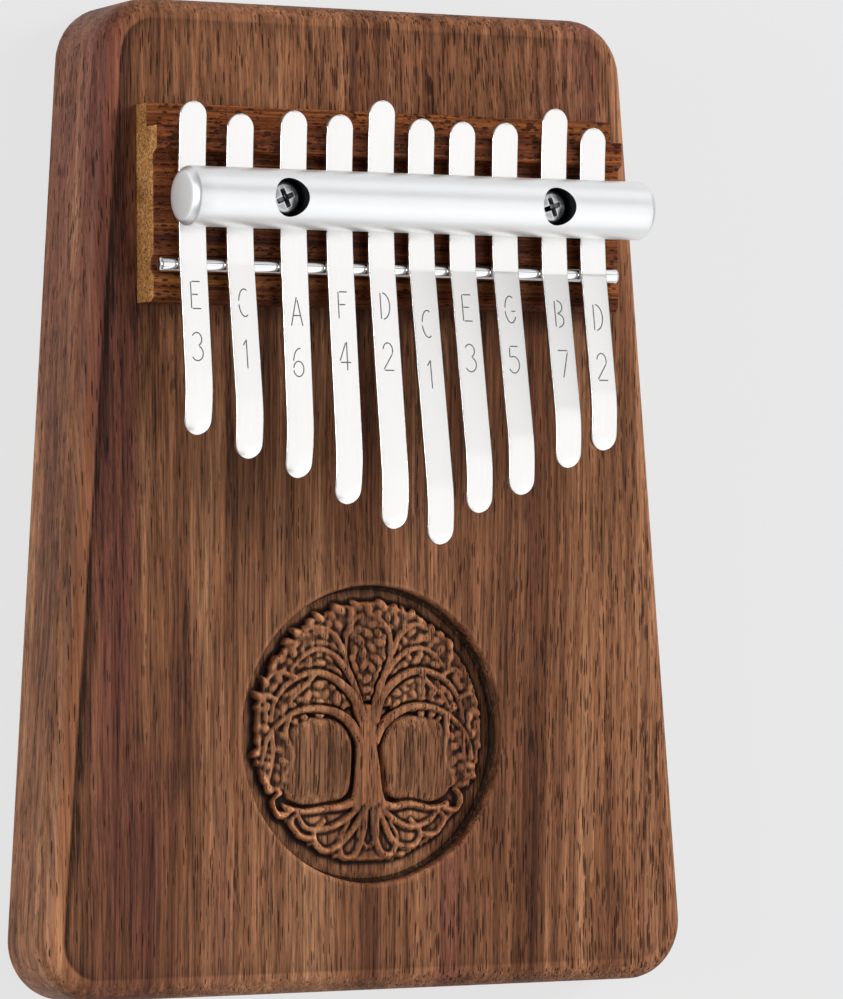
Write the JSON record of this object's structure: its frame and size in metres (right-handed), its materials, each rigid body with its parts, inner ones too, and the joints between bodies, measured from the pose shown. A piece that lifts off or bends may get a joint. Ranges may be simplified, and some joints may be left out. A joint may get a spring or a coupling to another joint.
{
  "type": "thumb piano",
  "caption": "Solid board thumb piano: flat steel tines clamped by a round pressure bar across a wooden bridge block and a steel rod, with a round carved recess.",
  "frame": {"origin": "middle of the flat back, where the instrument lies on a table", "axes": "+Z out of the back towards the face, +Y along the board towards the tails of the tines, +X to the right as seen with the tines' tails at the top"},
  "size_m": [0.112, 0.15, 0.0328],
  "materials": {
    "board_wood": "satin oiled walnut",
    "block_wood": "open-pored red-brown hardwood",
    "rod_steel": "polished",
    "bar_aluminium": "satin",
    "screw_steel": "dark zinc plated",
    "tine_steel": "bright nickel plated"
  },
  "bodies": {
    "instrument": {"board": "board_wood", "bridge_block": "block_wood", "rod_bridge": "rod_steel", "pressure_bar": "bar_aluminium", "screw_left": "screw_steel", "screw_right": "screw_steel"},
    "root_1": {"tine_1_root": "tine_steel"},
    "tongue_1": {"tine_1_tongue": "tine_steel"},
    "root_2": {"tine_2_root": "tine_steel"},
    "tongue_2": {"tine_2_tongue": "tine_steel"},
    "root_3": {"tine_3_root": "tine_steel"},
    "tongue_3": {"tine_3_tongue": "tine_steel"},
    "root_4": {"tine_4_root": "tine_steel"},
    "tongue_4": {"tine_4_tongue": "tine_steel"},
    "root_5": {"tine_5_root": "tine_steel"},
    "tongue_5": {"tine_5_tongue": "tine_steel"},
    "root_6": {"tine_6_root": "tine_steel"},
    "tongue_6": {"tine_6_tongue": "tine_steel"},
    "root_7": {"tine_7_root": "tine_steel"},
    "tongue_7": {"tine_7_tongue": "tine_steel"},
    "root_8": {"tine_8_root": "tine_steel"},
    "tongue_8": {"tine_8_tongue": "tine_steel"},
    "root_9": {"tine_9_root": "tine_steel"},
    "tongue_9": {"tine_9_tongue": "tine_steel"},
    "root_10": {"tine_10_root": "tine_steel"},
    "tongue_10": {"tine_10_tongue": "tine_steel"}
  },
  "joints": [
    {"name": "tune_1", "type": "slide", "parent": "instrument", "child": "root_1", "axis": [0, 0.9997, 0.024], "range_m": [-0.001, 0.001]},
    {"name": "press_1", "type": "hinge", "parent": "root_1", "child": "tongue_1", "pos_m": [-0.03465, 0.03435, 0.02176], "axis": [1, 0, 0], "range_deg": [-1, 3.5], "stiffness_Nm_per_rad": 2.5},
    {"name": "tune_2", "type": "slide", "parent": "instrument", "child": "root_2", "axis": [0, 0.9997, 0.024], "range_m": [-0.001, 0.001]},
    {"name": "press_2", "type": "hinge", "parent": "root_2", "child": "tongue_2", "pos_m": [-0.02665, 0.03435, 0.02176], "axis": [1, 0, 0], "range_deg": [-1, 3.5], "stiffness_Nm_per_rad": 2.5},
    {"name": "tune_3", "type": "slide", "parent": "instrument", "child": "root_3", "axis": [0, 0.9997, 0.024], "range_m": [-0.001, 0.001]},
    {"name": "press_3", "type": "hinge", "parent": "root_3", "child": "tongue_3", "pos_m": [-0.01755, 0.03435, 0.02176], "axis": [1, 0, 0], "range_deg": [-1, 3.5], "stiffness_Nm_per_rad": 2.5},
    {"name": "tune_4", "type": "slide", "parent": "instrument", "child": "root_4", "axis": [0, 0.9997, 0.024], "range_m": [-0.001, 0.001]},
    {"name": "press_4", "type": "hinge", "parent": "root_4", "child": "tongue_4", "pos_m": [-0.00965, 0.03435, 0.02176], "axis": [1, 0, 0], "range_deg": [-1, 3.5], "stiffness_Nm_per_rad": 2.5},
    {"name": "tune_5", "type": "slide", "parent": "instrument", "child": "root_5", "axis": [0, 0.9997, 0.024], "range_m": [-0.001, 0.001]},
    {"name": "press_5", "type": "hinge", "parent": "root_5", "child": "tongue_5", "pos_m": [-0.00245, 0.03435, 0.02176], "axis": [1, 0, 0], "range_deg": [-1, 3.5], "stiffness_Nm_per_rad": 2.5},
    {"name": "tune_6", "type": "slide", "parent": "instrument", "child": "root_6", "axis": [0, 0.9997, 0.024], "range_m": [-0.001, 0.001]},
    {"name": "press_6", "type": "hinge", "parent": "root_6", "child": "tongue_6", "pos_m": [0.00455, 0.03435, 0.02176], "axis": [1, 0, 0], "range_deg": [-1, 3.5], "stiffness_Nm_per_rad": 2.5},
    {"name": "tune_7", "type": "slide", "parent": "instrument", "child": "root_7", "axis": [0, 0.9997, 0.024], "range_m": [-0.001, 0.001]},
    {"name": "press_7", "type": "hinge", "parent": "root_7", "child": "tongue_7", "pos_m": [0.01175, 0.03435, 0.02176], "axis": [1, 0, 0], "range_deg": [-1, 3.5], "stiffness_Nm_per_rad": 2.5},
    {"name": "tune_8", "type": "slide", "parent": "instrument", "child": "root_8", "axis": [0, 0.9997, 0.024], "range_m": [-0.001, 0.001]},
    {"name": "press_8", "type": "hinge", "parent": "root_8", "child": "tongue_8", "pos_m": [0.01935, 0.03435, 0.02176], "axis": [1, 0, 0], "range_deg": [-1, 3.5], "stiffness_Nm_per_rad": 2.5},
    {"name": "tune_9", "type": "slide", "parent": "instrument", "child": "root_9", "axis": [0, 0.9997, 0.024], "range_m": [-0.001, 0.001]},
    {"name": "press_9", "type": "hinge", "parent": "root_9", "child": "tongue_9", "pos_m": [0.02815, 0.03435, 0.02176], "axis": [1, 0, 0], "range_deg": [-1, 3.5], "stiffness_Nm_per_rad": 2.5},
    {"name": "tune_10", "type": "slide", "parent": "instrument", "child": "root_10", "axis": [0, 0.9997, 0.024], "range_m": [-0.001, 0.001]},
    {"name": "press_10", "type": "hinge", "parent": "root_10", "child": "tongue_10", "pos_m": [0.03515, 0.03435, 0.02176], "axis": [1, 0, 0], "range_deg": [-1, 3.5], "stiffness_Nm_per_rad": 2.5}
  ]
}
